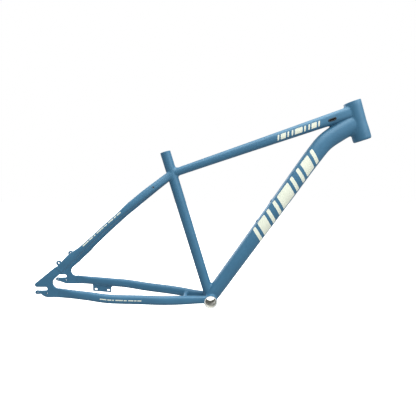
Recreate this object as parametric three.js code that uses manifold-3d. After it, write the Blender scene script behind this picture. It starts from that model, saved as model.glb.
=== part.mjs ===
// A welded aluminium mountain bike frame, bare, as it leaves the paint shop.
// Millimetres. +X points to the front wheel, +Y to the rider's left, +Z up.
// The origin is the middle of the bottom bracket shell, where the crank axle runs.
import * as THREE from 'three';
import { mergeVertices } from 'three/addons/utils/BufferGeometryUtils.js';
import Module from 'manifold-3d';

const wasm = await Module();
wasm.setup();

// ---------------------------------------------------------------- driving dimensions
const SEAT_ANGLE = 73.3; // seat tube, degrees up from the rearward horizontal
const SEAT_LENGTH = 472; // shell centre to the top of the seat tube
const SEAT_DIAMETER = 31;
const SEAT_BORE = 27.2; // seat post
const CLAMP_SLOT = { width: 2.4, length: 26, hole: 5 };

const HEAD_ANGLE = 71.4;
const HEAD_BOTTOM = new THREE.Vector3(460.2, 0, 491.6); // middle of the lower face
const HEAD_LENGTH = 119;
const HEAD_DIAMETER = { top: 50.5, bottom: 54 };
const HEAD_BORE = { cup: 44, middle: 42, cupDepth: 16 };

const SHELL_WIDTH = 68;
const SHELL_DIAMETER = 40.5;
const SHELL_BORE = 34.8;

const AXLE_X = -473.3; // slot bottom, on the axle line
const AXLE_Z = 58;
const REAR_SPACING = 135; // between the inner faces of the dropouts
const DROPOUT_PLATE = 7;
const SLOT_HEIGHT = 10.4;

const WALL = 2; // main tubes
const STAY_WALL = 1.8;
const BRIDGE_WALL = 1.6;
const GAP = 0.3; // clearance between neighbouring pieces
const BEAD = 3; // height of a weld bead above the tubes
const BRIDGE_BEAD = 2;

const BLUE = 0x4a7696;
const BARE = 0xc9cbc6;
const RUBBER = 0x1d1f21;

// ---------------------------------------------------------------- points and directions
const LEFT = new THREE.Vector3(0, 1, 0);
const rad = THREE.MathUtils.degToRad;
const seatUp = new THREE.Vector3(-Math.cos(rad(SEAT_ANGLE)), 0, Math.sin(rad(SEAT_ANGLE)));
const headUp = new THREE.Vector3(-Math.cos(rad(HEAD_ANGLE)), 0, Math.sin(rad(HEAD_ANGLE)));
const PLATE_Y = (REAR_SPACING + DROPOUT_PLATE) / 2;

const onSeat = (s) => seatUp.clone().multiplyScalar(s);
const point = ([x, y, z]) => new THREE.Vector3(x, y, z);
const curve = (points) => new THREE.CatmullRomCurve3(points.map(point), false, 'centripetal');
const mirrored = (points, side) => points.map(([x, y, z]) => [x, y * side, z]);

// Reads a list of [place, value] pairs as a smooth function of the place.
function profile(pairs) {
  return (t) => {
    const last = pairs.length - 1;
    let i = 0;
    while (i < last - 1 && t > pairs[i + 1][0]) i++;
    const [t0, v0] = pairs[i];
    const [t1, v1] = pairs[i + 1];
    return THREE.MathUtils.lerp(v0, v1, THREE.MathUtils.smoothstep(t, t0, t1));
  };
}

// ---------------------------------------------------------------- solids
function toSolid(geometry) {
  const bare = geometry.clone();
  bare.deleteAttribute('normal');
  bare.deleteAttribute('uv');
  const merged = mergeVertices(bare, 1e-4);
  return new wasm.Manifold(new wasm.Mesh({
    numProp: 3,
    vertProperties: new Float32Array(merged.attributes.position.array),
    triVerts: new Uint32Array(merged.index.array),
  }));
}

// Cuts leave points closer together than the mesh can hold apart, so those are joined first.
function toGeometry(solid) {
  const mesh = solid.simplify(0.02).getMesh();
  const geometry = new THREE.BufferGeometry();
  geometry.setAttribute('position', new THREE.BufferAttribute(mesh.vertProperties, 3));
  geometry.setIndex(new THREE.BufferAttribute(mesh.triVerts, 1));
  geometry.computeVertexNormals();
  return geometry;
}

// A cut can leave crumbs beyond a joint: only the main body is kept.
function mainBody(solid) {
  return solid.decompose().reduce((a, b) => (a.volume() > b.volume() ? a : b));
}

// A solid tube of changing oval section. section(t) gives its width across the frame, its
// depth, and how square it is: 2 is an ellipse and more is boxier. extra swells it all over.
function loft(path, { steps, sides, section }, extra = 0) {
  const positions = [];
  const index = [];
  for (let i = 0; i <= steps; i++) {
    const t = i / steps;
    const centre = path.getPointAt(t);
    const along = path.getTangentAt(t);
    const across = LEFT.clone().addScaledVector(along, -along.dot(LEFT)).normalize();
    const deep = new THREE.Vector3().crossVectors(along, across);
    const { width, depth, square } = section(t);
    for (let j = 0; j < sides; j++) {
      const angle = (2 * Math.PI * j) / sides;
      const c = Math.cos(angle);
      const s = Math.sin(angle);
      const y = Math.sign(c) * Math.abs(c) ** (2 / square) * (width / 2 + extra);
      const z = Math.sign(s) * Math.abs(s) ** (2 / square) * (depth / 2 + extra);
      positions.push(...centre.clone().addScaledVector(across, y).addScaledVector(deep, z));
    }
  }
  for (let i = 0; i < steps; i++) {
    for (let j = 0; j < sides; j++) {
      const a = i * sides + j;
      const b = i * sides + ((j + 1) % sides);
      index.push(a, b, a + sides, b, b + sides, a + sides);
    }
  }
  const first = positions.length / 3;
  positions.push(...path.getPointAt(0), ...path.getPointAt(1));
  for (let j = 0; j < sides; j++) {
    const k = (j + 1) % sides;
    index.push(first, k, j);
    index.push(first + 1, steps * sides + j, steps * sides + k);
  }
  const geometry = new THREE.BufferGeometry();
  geometry.setAttribute('position', new THREE.Float32BufferAttribute(positions, 3));
  geometry.setIndex(index);
  return toSolid(geometry);
}

// A turned solid: outline is [radius, height] pairs, stood on base along the direction up.
function turned(outline, base, up, segments = 32) {
  const points = outline.map(([r, h]) => new THREE.Vector2(r, h));
  const geometry = new THREE.LatheGeometry(points, segments);
  const turn = new THREE.Quaternion().setFromUnitVectors(LEFT, up);
  geometry.applyMatrix4(new THREE.Matrix4().compose(base, turn, new THREE.Vector3(1, 1, 1)));
  return toSolid(geometry);
}

const rod = (radius, length, base, up, segments = 32) =>
  turned([[0, 0], [radius, 0], [radius, length], [0, length]], base, up, segments);

function box(width, depth, height, centre, up = new THREE.Vector3(0, 0, 1)) {
  const geometry = new THREE.BoxGeometry(width, depth, height);
  const turn = new THREE.Quaternion().setFromUnitVectors(new THREE.Vector3(0, 0, 1), up);
  geometry.applyMatrix4(new THREE.Matrix4().compose(centre, turn, new THREE.Vector3(1, 1, 1)));
  return toSolid(geometry);
}

// A flat plate from an outline in X and Z, standing between y and y + thickness.
function plate(shape, thickness, y, curveSegments = 6) {
  const geometry = new THREE.ExtrudeGeometry(shape, {
    depth: thickness, bevelEnabled: false, curveSegments,
  });
  geometry.applyMatrix4(new THREE.Matrix4().set(
    1, 0, 0, 0,
    0, 0, -1, y + thickness,
    0, 1, 0, 0,
    0, 0, 0, 1,
  ));
  return toSolid(geometry);
}

// A tube member: outer(extra) is its outside, filled, and bore is the hollow inside it.
function member(path, { steps, sides, section, wall = WALL }) {
  const outer = (extra = 0) => loft(path, { steps, sides, section }, extra);
  const bore = () => {
    const inside = (t) => {
      const { width, depth, square } = section(t);
      return { width: width - 2 * wall, depth: depth - 2 * wall, square };
    };
    return loft(path, { steps, sides: 12, section: inside });
  };
  return { outer, bore, path, section };
}

// The tube cut to fit the members it is welded to, with its hollow open at both ends.
function mitred(tube, neighbours) {
  let solid = tube.outer().subtract(tube.bore());
  for (const other of neighbours) solid = solid.subtract(other.outer(GAP));
  return mainBody(solid);
}

// The bead that fills the corner between two members. It keeps clear of the members in
// clear and of the beads laid before it, which are given as member pairs in laid.
function bead(a, b, clear = [], laid = [], size = BEAD) {
  let solid = a.outer(size).intersect(b.outer(size));
  solid = solid.subtract(a.outer(GAP)).subtract(b.outer(GAP));
  for (const other of clear) solid = solid.subtract(other.outer(GAP));
  for (const [c, d] of laid) {
    solid = solid.subtract(c.outer(size + GAP).intersect(d.outer(size + GAP)));
  }
  return mainBody(solid);
}

// ---------------------------------------------------------------- members
const head = {
  outer: (extra = 0) => {
    const top = HEAD_DIAMETER.top / 2 + extra;
    const low = HEAD_DIAMETER.bottom / 2 + extra;
    return turned([
      [0, 0], [low - 3, 0], [low - 0.8, 1.4], [low, 4], [low, 16],
      [low - 1.6, 34], [top, 62], [top, HEAD_LENGTH - 1], [top - 1, HEAD_LENGTH], [0, HEAD_LENGTH],
    ], HEAD_BOTTOM, headUp);
  },
};

const shell = {
  outer: (extra = 0) =>
    rod(SHELL_DIAMETER / 2 + extra, SHELL_WIDTH, new THREE.Vector3(0, -SHELL_WIDTH / 2, 0), LEFT),
};

const seat = {
  outer: (extra = 0) => rod(SEAT_DIAMETER / 2 + extra, SEAT_LENGTH, new THREE.Vector3(), seatUp),
};

// The top tube grows from the seat tube to the head tube and its sides turn flatter.
const TOP_AT_SEAT = [-115.9, 0, 388.5];
const TOP_AT_HEAD = [431.5, 0, 578];
const top = member(new THREE.LineCurve3(point(TOP_AT_SEAT), point(TOP_AT_HEAD)), {
  steps: 5,
  sides: 20,
  section: (t) => ({ width: 27 + 11 * t, depth: 24 + 13.5 * t ** 1.3, square: 2.2 + 0.6 * t }),
});

// The down tube runs straight up from the shell and bends forward under the head tube.
const DOWN_ROUTE = [
  [-3.8, 0, 0.5], [112, 0, 163.4], [227.6, 0, 326.4], [311.2, 0, 444.6], [344.5, 0, 485.5],
  [383, 0, 513.2], [442, 0, 548],
];
const downBlank = member(curve(DOWN_ROUTE), {
  steps: 15,
  sides: 20,
  section: (t) => ({ width: 50 - 7 * t, depth: 43 + 14 * t ** 1.15, square: 2.2 }),
});

// Its lower end stops at the middle of the seat tube, so nothing of it shows behind.
const behindSeat = box(200, 200, 200, new THREE.Vector3(
  -100 * Math.sin(rad(SEAT_ANGLE)), 0, -100 * Math.cos(rad(SEAT_ANGLE)),
), seatUp);
const down = { ...downBlank, outer: (extra = 0) => downBlank.outer(extra).subtract(behindSeat) };

// Chainstays: flat, tapered ends at the dropouts, spread past the tyre, close at the shell.
// The right one drops early to pass under the chain.
const CHAINSTAY_ROUTE = {
  right: [
    [-432, 71, 44.6], [-405, 70, 40.9], [-377, 69, 36.8], [-349, 68, 32.6], [-322, 66, 27.2],
    [-294, 63.5, 23], [-265, 60.5, 20.4], [-209, 54, 16.4], [-151, 46, 11], [-92, 37, 8.2],
    [-50, 28.3, 6.4], [0, 22, 4.8],
  ],
  left: [
    [-432, 71, 46.2], [-408, 70, 44.5], [-362, 68.5, 40.9], [-317, 66, 36.7], [-284, 63, 34.6],
    [-251, 59.5, 30.8], [-221, 55.5, 26.6], [-189, 51, 23], [-126, 42.5, 16.8], [-92, 37, 12.6],
    [-50, 28.3, 8], [0, 22, 4.8],
  ],
};
const chainstayDepth = profile([[0, 26], [0.1, 25], [0.3, 26.4], [0.75, 27.6], [1, 23]]);
const chainstayWidth = profile([[0, 8], [0.12, 17], [0.5, 19], [1, 18]]);
const chainstay = (side, route) => member(curve(mirrored(route, side)), {
  steps: 15,
  sides: 14,
  wall: STAY_WALL,
  section: (t) => ({ width: chainstayWidth(t), depth: chainstayDepth(t), square: 2.5 }),
});

// Seatstays: slim in the middle, deep where they reach the seat tube side by side.
const SEATSTAY_ROUTE = [
  [-432, 71, 114], [-400.5, 69, 145.7], [-367.8, 66.5, 173.8], [-335.4, 63.5, 203.6],
  [-303.2, 60, 233], [-270.2, 56, 262.3], [-237.4, 50.5, 291.4], [-220.4, 46.5, 305.7],
  [-186.7, 36.5, 333.3], [-150, 21.5, 361.8], [-127.4, 12, 379.1], [-113, 8.3, 390],
];
const seatstayDepth = profile([
  [0, 21.6], [0.11, 24.5], [0.2, 17], [0.3, 15.4], [0.5, 15.4], [0.64, 20.5], [0.8, 22], [1, 23],
]);
const seatstayWidth = profile([[0, 8], [0.1, 15], [0.5, 15.5], [0.85, 14.4], [1, 13.6]]);
const seatstay = (side) => member(curve(mirrored(SEATSTAY_ROUTE, side)), {
  steps: 18,
  sides: 14,
  wall: STAY_WALL,
  section: (t) => ({ width: seatstayWidth(t), depth: seatstayDepth(t), square: 2.4 }),
});

const stays = {
  right: { chain: chainstay(-1, CHAINSTAY_ROUTE.right), seat: seatstay(-1) },
  left: { chain: chainstay(1, CHAINSTAY_ROUTE.left), seat: seatstay(1) },
};

// Two cross tubes tie the stays together ahead of the wheel.
const CHAIN_BRIDGE = { diameter: 13, x: -79, z: 10.6, reach: 36 };
const SEAT_BRIDGE = { diameter: 12, x: -196, z: 326.3, reach: 39 };
function crossMember({ diameter, x, z, reach }) {
  const base = new THREE.Vector3(x, -reach, z);
  return {
    outer: (extra = 0) => rod(diameter / 2 + extra, 2 * reach, base, LEFT, 16),
    bore: () => rod(diameter / 2 - BRIDGE_WALL, 2 * reach, base, LEFT, 16),
  };
}
const chainBridge = crossMember(CHAIN_BRIDGE);
const seatBridge = crossMember(SEAT_BRIDGE);

// ---------------------------------------------------------------- dropouts
// A stay ends square on a stub of the dropout: the stub's middle, its slope and its depth.
const CHAIN_STUB = { x: -432, z: 45.2, slope: -5.7, depth: 26 };
const SEAT_STUB = { x: -432, z: 114, slope: 45, depth: 21.6 };
const EYELET = { x: -495, z: 48, radius: 6, bore: 2.1 };
const SECOND_EYE = { x: -470.5, z: 44.2, bore: 2.1 };
const ARMS = { // the tip of each upper arm, and where its top edge meets the stub
  right: { x: -496.3, z: 70.2, radius: 6.8, edge: 128.7, shoulder: 120 },
  left: { x: -499.3, z: 67.3, radius: 3.9, edge: 129, shoulder: 116.3 },
};
const THROAT = { x: -437.6, z: 74.5, radius: 16 };

// The corner of a stub's end: side is 1 for its upper corner and -1 for its lower one.
function stubCorner({ x, z, slope, depth }, side) {
  const a = rad(slope);
  const back = 2 * GAP;
  return [
    x - back * Math.cos(a) - side * (depth / 2) * Math.sin(a),
    z - back * Math.sin(a) + side * (depth / 2) * Math.cos(a),
  ];
}

// The outline is walked from the upper arm round the axle slot, which is open to the rear,
// along the lower arm with its mudguard eyelet, and round the throat between the two stubs.
// The right arm has a neck behind its eyelet; the left arm is straight there.
function dropoutOutline(side) {
  const half = SLOT_HEIGHT / 2;
  const arm = side < 0 ? ARMS.right : ARMS.left;
  const shape = new THREE.Shape();
  shape.moveTo(arm.x, arm.z - arm.radius);
  shape.lineTo(AXLE_X, AXLE_Z + half);
  shape.absarc(AXLE_X, AXLE_Z, half, rad(90), rad(-90), true);
  shape.lineTo(-489, AXLE_Z - half - 0.4);
  if (side < 0) {
    shape.absarc(EYELET.x, EYELET.z, EYELET.radius, rad(38), rad(-48), false);
    shape.lineTo(-485.5, 43);
    shape.quadraticCurveTo(-479.5, 34, -469, 32.9);
  } else {
    shape.absarc(EYELET.x, EYELET.z, EYELET.radius, rad(38), rad(-68), false);
    shape.lineTo(-478.5, 36.6);
    shape.quadraticCurveTo(-474, 33.6, -469, 32.9);
  }
  shape.lineTo(...stubCorner(CHAIN_STUB, -1));
  shape.lineTo(...stubCorner(CHAIN_STUB, 1));
  shape.absarc(THROAT.x, THROAT.z, THROAT.radius, rad(-85), rad(-230), true);
  shape.lineTo(...stubCorner(SEAT_STUB, -1));
  shape.lineTo(...stubCorner(SEAT_STUB, 1));
  shape.lineTo(-445, arm.shoulder);
  shape.absarc(arm.x, arm.z, arm.radius, rad(arm.edge), rad(270), false);
  return shape;
}

const dropout = (side) => plate(dropoutOutline(side), DROPOUT_PLATE,
  side * PLATE_Y - DROPOUT_PLATE / 2);

function drilled(solid, holes, y) {
  let result = solid;
  for (const { x, z, bore } of holes) {
    const base = new THREE.Vector3(x, y - 10, z);
    result = result.subtract(rod(bore, 20, base, LEFT, 12));
  }
  return result;
}

// An upright plate's outline with fully round ends: a slot or an oval.
function oval(x, z, length, height, slope) {
  const shape = new THREE.Shape();
  const r = height / 2;
  const reach = length / 2 - r;
  const a = rad(slope);
  const dx = reach * Math.cos(a);
  const dz = reach * Math.sin(a);
  shape.absarc(x + dx, z + dz, r, a - Math.PI / 2, a + Math.PI / 2, false);
  shape.absarc(x - dx, z - dz, r, a + Math.PI / 2, a + (3 * Math.PI) / 2, false);
  return shape;
}

// ---------------------------------------------------------------- disc brake mount
// A plate on the left dropout's upper edge with two ears 51 mm apart. It is drawn along the
// edge: u runs up the edge and v stands off it.
const DISC_EDGE = { x: -501.3, z: 70.7, slope: 39 };
const DISC_EAR = { first: 28, pitch: 51, height: 17.5, radius: 7.6, bore: 3.1 };
const DISC_PLATE = { thickness: 6, y: 65 };

function onDiscEdge(u, v) {
  const a = rad(DISC_EDGE.slope);
  return [
    DISC_EDGE.x + u * Math.cos(a) - v * Math.sin(a),
    DISC_EDGE.z + u * Math.sin(a) + v * Math.cos(a),
  ];
}

function discMount() {
  const { first, pitch, height, radius, bore } = DISC_EAR;
  const slope = rad(DISC_EDGE.slope);
  const second = first + pitch;
  const shape = new THREE.Shape();
  shape.moveTo(...onDiscEdge(first - 14, GAP));
  shape.lineTo(...onDiscEdge(first - radius, height - 3));
  shape.absarc(...onDiscEdge(first, height), radius, slope + rad(200), slope + rad(-20), true);
  shape.quadraticCurveTo(...onDiscEdge(first + 12, 7), ...onDiscEdge(first + pitch / 2, 7));
  shape.quadraticCurveTo(...onDiscEdge(second - 12, 7),
    ...onDiscEdge(second - radius * 0.94, height - 2.6));
  shape.absarc(...onDiscEdge(second, height), radius, slope + rad(200), slope + rad(-20), true);
  shape.lineTo(...onDiscEdge(second + 16, 6));
  shape.lineTo(...onDiscEdge(second + 16, 2));
  shape.lineTo(...onDiscEdge(79, 2));
  shape.lineTo(...onDiscEdge(72, GAP));
  const eyes = [first, second].map((u) => {
    const [x, z] = onDiscEdge(u, height);
    return { x, z, bore };
  });
  const blank = plate(shape, DISC_PLATE.thickness, DISC_PLATE.y);
  const clear = blank.subtract(stays.left.seat.outer(GAP));
  return mainBody(drilled(clear, eyes, DISC_PLATE.y));
}

// ---------------------------------------------------------------- kickstand plate
// It hangs under the left chainstay, with two slotted holes 40 mm apart.
const STAND = { left: -383.5, right: -325, thickness: 5, y: 63.5, slope: -5.7, pitch: 40 };

function kickstandPlate() {
  const shape = new THREE.Shape();
  shape.moveTo(STAND.left, 42);
  shape.lineTo(STAND.left, 8.9);
  shape.lineTo(STAND.right, 3);
  shape.lineTo(STAND.right, 15);
  shape.quadraticCurveTo(STAND.right, 25, -310, 26);
  shape.lineTo(-310, 36);
  const blank = plate(shape, STAND.thickness, STAND.y);
  const middle = [(STAND.left + STAND.right) / 2 + 0.6, 12.9];
  let solid = blank.subtract(stays.left.chain.outer(GAP));
  for (const end of [-1, 1]) {
    const x = middle[0] + (end * STAND.pitch / 2) * Math.cos(rad(STAND.slope));
    const z = middle[1] + (end * STAND.pitch / 2) * Math.sin(rad(STAND.slope));
    solid = solid.subtract(plate(oval(x, z, 9.5, 6, STAND.slope), 20, STAND.y - 8));
  }
  return mainBody(solid);
}

// ---------------------------------------------------------------- cable port
// A rubber grommet in a slot through the right wall of the top tube, near the head tube.
const PORT = { x: 358.6, z: 549.2, length: 25.6, height: 8.8, slope: 19.1, lip: 1.2, y: -18.6 };

const portCut = () => plate(
  oval(PORT.x, PORT.z, PORT.length - 2.4, PORT.height - 2.4, PORT.slope), 12, PORT.y - 6);

function cablePort() {
  const { x, z, length, height, slope, lip, y } = PORT;
  const rim = plate(oval(x, z, length, height, slope), 4, y - lip).subtract(top.outer(GAP));
  const neck = plate(oval(x, z, length - 3, height - 3, slope), 5, y - lip);
  const mouth = plate(oval(x, z, length - 6.4, height - 6.4, slope), 20, y - 10);
  return mainBody(rim.add(neck).subtract(mouth));
}

// ---------------------------------------------------------------- threaded bosses
// A threaded insert in a tube's wall: t is its place along the tube, and away points out of
// the tube's side there. reach is from the tube's axis to its surface.
function insertAt(tube, t, pick, side) {
  const along = tube.path.getTangentAt(t);
  const across = LEFT.clone().addScaledVector(along, -along.dot(LEFT)).normalize();
  const deep = new THREE.Vector3().crossVectors(along, across);
  const { width, depth } = tube.section(t);
  const away = (pick === 'side' ? across : deep).multiplyScalar(side);
  const reach = (pick === 'side' ? width : depth) / 2;
  return { away, surface: tube.path.getPointAt(t).addScaledVector(away, reach) };
}

const insertHole = ({ away, surface }, radius) =>
  rod(radius + GAP, 12, surface.clone().addScaledVector(away, -8), away, 12);

function insert({ away, surface }, { radius, flange, lip, bore, length }) {
  return turned([
    [bore, -length], [radius, -length], [radius, 0.4], [flange, 0.4], [flange, lip],
    [bore, lip], [bore, -length],
  ], surface, away, 12);
}

const BOTTLE_INSERT = { radius: 3.6, flange: 5, lip: 1.4, bore: 2.1, length: 6 };
const RACK_INSERT = { radius: 2.8, flange: 3.6, lip: 1.2, bore: 2, length: 4 };
const bottlePlaces = { lower: insertAt(down, 0.4, 'top', 1), upper: insertAt(down, 0.506, 'top', 1) };
const rackPlaces = {
  right: insertAt(stays.right.seat, 0.826, 'side', -1),
  left: insertAt(stays.left.seat, 0.826, 'side', 1),
};

// ---------------------------------------------------------------- the cut tubes
function headTube() {
  const { cup, middle, cupDepth } = HEAD_BORE;
  return head.outer().subtract(turned([
    [0, -1], [cup / 2, -1], [cup / 2, cupDepth], [middle / 2, cupDepth + 1],
    [middle / 2, HEAD_LENGTH - cupDepth - 1], [cup / 2, HEAD_LENGTH - cupDepth],
    [cup / 2, HEAD_LENGTH + 1], [0, HEAD_LENGTH + 1],
  ], HEAD_BOTTOM, headUp));
}

function bottomBracketShell() {
  const half = SHELL_WIDTH / 2;
  const bore = SHELL_BORE / 2;
  return shell.outer().subtract(turned([
    [0, -half - 1], [bore + 1, -half - 1], [bore + 1, -half], [bore, -half + 1],
    [bore, half - 1], [bore + 1, half], [bore + 1, half + 1], [0, half + 1],
  ], new THREE.Vector3(), LEFT));
}

// The seat tube is slotted at the back of its upper end, where the post clamp squeezes it.
function seatTube() {
  const { width, length, hole } = CLAMP_SLOT;
  const back = new THREE.Vector3(-Math.sin(rad(SEAT_ANGLE)), 0, -Math.cos(rad(SEAT_ANGLE)));
  const slotFoot = onSeat(SEAT_LENGTH - length);
  const slotMiddle = onSeat(SEAT_LENGTH - length / 2 + 1).addScaledVector(back, 12);
  return mainBody(seat.outer()
    .subtract(rod(SEAT_BORE / 2, SEAT_LENGTH + 20, onSeat(-10), seatUp))
    .subtract(shell.outer(GAP))
    .subtract(box(20, width, length + 2, slotMiddle, seatUp))
    .subtract(rod(hole / 2, 24, slotFoot, back, 12)));
}

const topTube = () => mitred(top, [seat, head]).subtract(portCut());

function downTube() {
  let solid = mitred(down, [shell, seat, top, head]);
  for (const place of Object.values(bottlePlaces)) {
    solid = solid.subtract(insertHole(place, BOTTLE_INSERT.radius));
  }
  return solid;
}

const seatstayTube = (side) => mitred(stays[side].seat, [seat])
  .subtract(insertHole(rackPlaces[side], RACK_INSERT.radius));

// ---------------------------------------------------------------- the group
const finishes = {
  paint: new THREE.MeshStandardMaterial({ color: BLUE, roughness: 0.5, metalness: 0.1 }),
  bare: new THREE.MeshStandardMaterial({ color: BARE, roughness: 0.35, metalness: 0.9 }),
  rubber: new THREE.MeshStandardMaterial({ color: RUBBER, roughness: 0.7, metalness: 0 }),
};
const frame = new THREE.Group();
const groups = {};
for (const name of ['tubes', 'rear', 'fittings', 'welds']) {
  groups[name] = new THREE.Group();
  frame.add(groups[name]);
}

function add(group, name, solid, finish = finishes.paint) {
  const mesh = new THREE.Mesh(toGeometry(solid), finish);
  mesh.name = name;
  groups[group].add(mesh);
}

add('tubes', 'head_tube', headTube());
add('tubes', 'top_tube', topTube());
add('tubes', 'down_tube', downTube());
add('tubes', 'seat_tube', seatTube());
add('tubes', 'bottom_bracket_shell', bottomBracketShell(), finishes.bare);

const { right, left } = stays;
for (const [name, side] of [['right', -1], ['left', 1]]) {
  const stay = stays[name];
  const eyes = drilled(dropout(side), [EYELET, SECOND_EYE], side * PLATE_Y);
  add('rear', `dropout_${name}`, eyes);
  add('rear', `chainstay_${name}`, mitred(stay.chain, [shell, seat, down]));
  add('rear', `seatstay_${name}`, seatstayTube(name));
  add('fittings', `rack_boss_${name}`, insert(rackPlaces[name], RACK_INSERT));
}
for (const name of ['lower', 'upper']) {
  add('fittings', `bottle_boss_${name}`, insert(bottlePlaces[name], BOTTLE_INSERT));
}
add('rear', 'chainstay_bridge', mitred(chainBridge, [right.chain, left.chain]));
add('rear', 'seatstay_bridge', mitred(seatBridge, [right.seat, left.seat]));
add('fittings', 'disc_brake_mount', discMount());
add('fittings', 'kickstand_plate', kickstandPlate());
add('fittings', 'cable_port', cablePort(), finishes.rubber);

const chains = [right.chain, left.chain];
add('welds', 'weld_seat_shell', bead(seat, shell, [down, ...chains]));
add('welds', 'weld_down_shell', bead(down, shell, [seat, ...chains], [[seat, shell]]));
add('welds', 'weld_seat_down', bead(seat, down, [shell, ...chains], [[seat, shell], [down, shell]]));
add('welds', 'weld_top_seat', bead(top, seat, [right.seat, left.seat]));
add('welds', 'weld_top_head', bead(top, head, [down]));
add('welds', 'weld_down_head', bead(down, head, [top], [[top, head]]));
add('welds', 'weld_top_down', bead(top, down, [head], [[top, head], [down, head]]));
for (const [name, other] of [['right', left], ['left', right]]) {
  const stay = stays[name];
  const laidAtShell = [[seat, shell], [down, shell], [seat, down]];
  add('welds', `weld_chainstay_${name}`, bead(stay.chain, shell, [seat, down], laidAtShell));
  const laidAtSeat = [[top, seat], ...(name === 'left' ? [[other.seat, seat]] : [])];
  add('welds', `weld_seatstay_${name}`, bead(stay.seat, seat, [top, other.seat], laidAtSeat));
  add('welds', `weld_chain_bridge_${name}`, bead(chainBridge, stay.chain, [], [], BRIDGE_BEAD));
  add('welds', `weld_seat_bridge_${name}`, bead(seatBridge, stay.seat, [], [], BRIDGE_BEAD));
}

export default frame;
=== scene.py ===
# %% [markdown]
# # A bare mountain bike frame in satin blue
# The real thing is a set of aluminium tubes, each cut to fit its neighbour, welded, filed
# smooth at the front joints and painted in one coat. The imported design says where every
# tube runs. This file makes each tube again with a fine, round surface, lays the weld
# beads as shapes of their own, and gives the paint, the bare metal and the rubber finishes
# that change over the surface.

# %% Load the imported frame
import math

import bmesh
import bpy
import numpy as np
from mathutils import Matrix, Vector
from mathutils.bvhtree import BVHTree
from mathutils.geometry import tessellate_polygon


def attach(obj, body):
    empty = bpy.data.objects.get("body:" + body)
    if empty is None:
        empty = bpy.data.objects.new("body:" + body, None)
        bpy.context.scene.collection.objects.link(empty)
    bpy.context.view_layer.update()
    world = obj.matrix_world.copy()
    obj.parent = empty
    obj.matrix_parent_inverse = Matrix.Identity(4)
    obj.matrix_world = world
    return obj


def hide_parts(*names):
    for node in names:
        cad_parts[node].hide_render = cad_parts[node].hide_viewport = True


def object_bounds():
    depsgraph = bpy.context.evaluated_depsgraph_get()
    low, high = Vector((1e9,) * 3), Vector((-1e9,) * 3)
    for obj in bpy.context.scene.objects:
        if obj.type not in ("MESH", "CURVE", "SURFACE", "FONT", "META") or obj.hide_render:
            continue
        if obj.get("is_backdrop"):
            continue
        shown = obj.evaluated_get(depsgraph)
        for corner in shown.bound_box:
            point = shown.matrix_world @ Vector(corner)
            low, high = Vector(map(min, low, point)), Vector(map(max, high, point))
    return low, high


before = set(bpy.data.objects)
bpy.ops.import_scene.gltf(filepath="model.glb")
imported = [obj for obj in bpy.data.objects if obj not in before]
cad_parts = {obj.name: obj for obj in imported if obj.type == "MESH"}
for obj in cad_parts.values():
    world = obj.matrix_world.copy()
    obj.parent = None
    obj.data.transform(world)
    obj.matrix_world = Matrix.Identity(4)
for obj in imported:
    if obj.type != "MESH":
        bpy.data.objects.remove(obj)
cad_low, cad_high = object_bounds()
print("parts in the design:", len(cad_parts), "size in metres:", cad_high - cad_low)

# %% [markdown]
# ## Working in millimetres
# Frame builders work in millimetres, so every size below is in millimetres and is turned
# into metres once, when a mesh is made. Most pieces here are grids of points: rows along
# something and columns around it. A grid that closes on itself both ways is a ring, and
# one with a lid at each end is a rod, so one helper can make tubes, turned parts and welds.

# %% Grids of points become meshes
MM = 0.001


def grid_faces(rows, columns, closed):
    row = np.arange(rows if closed else rows - 1)[:, None]
    column = np.arange(columns)[None, :]
    after, beside = (row + 1) % rows, (column + 1) % columns
    corners = [row * columns + column, row * columns + beside,
               after * columns + beside, after * columns + column]
    faces = np.stack(np.broadcast_arrays(*corners), -1).reshape(-1, 4).tolist()
    if not closed:
        faces.append(list(range(columns))[::-1])
        faces.append(list(range((rows - 1) * columns, rows * columns)))
    return faces


def mesh_from(name, points, faces):
    mesh = bpy.data.meshes.new(name)
    mesh.from_pydata((np.asarray(points).reshape(-1, 3) * MM).tolist(), [], faces)
    work = bmesh.new()
    work.from_mesh(mesh)
    bmesh.ops.recalc_face_normals(work, faces=work.faces)
    work.to_mesh(mesh)
    work.free()
    return mesh


def put(name, data):
    thing = bpy.data.objects.new(name, data)
    bpy.context.scene.collection.objects.link(thing)
    return thing


def finish_piece(name, mesh, materials, nodes=(), crease=38):
    """Puts a mesh in the scene, rides it on the frame and hides the design parts it stands in for.
    """
    mesh.polygons.foreach_set("use_smooth", [True] * len(mesh.polygons))
    mesh.set_sharp_from_angle(angle=math.radians(crease))
    for material in materials:
        mesh.materials.append(material)
    piece = put(name, mesh)
    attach(piece, "root")
    if nodes:
        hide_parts(*nodes)
    return piece


def grid_mesh(name, rows, closed=True):
    return mesh_from(name, rows, grid_faces(*rows.shape[:2], closed))


print("helpers for grids ready")

# %% [markdown]
# ## Effects that several finishes share
# Paint, printed graphics, bare metal and rubber all have some grain, a little dirt, and
# edges that catch wear. Each effect is one node group with named inputs, built once, and
# every finish sets its own values. Texture coordinates come from the frame itself, so a
# pattern runs on from a tube over its weld and onto the next tube with no seam.

# %% A helper for node groups


def effect(name, inputs, outputs):
    group = bpy.data.node_groups.new(name, "ShaderNodeTree")
    for label, value in inputs.items():
        item = group.interface.new_socket(label, in_out="INPUT", socket_type="NodeSocketFloat")
        item.default_value = value
    for label in outputs:
        group.interface.new_socket(label, in_out="OUTPUT", socket_type="NodeSocketFloat")
    given = group.nodes.new("NodeGroupInput")
    made = group.nodes.new("NodeGroupOutput")
    where = group.nodes.new("ShaderNodeTexCoord").outputs["Object"]
    return group, given.outputs, made.inputs, where


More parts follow.
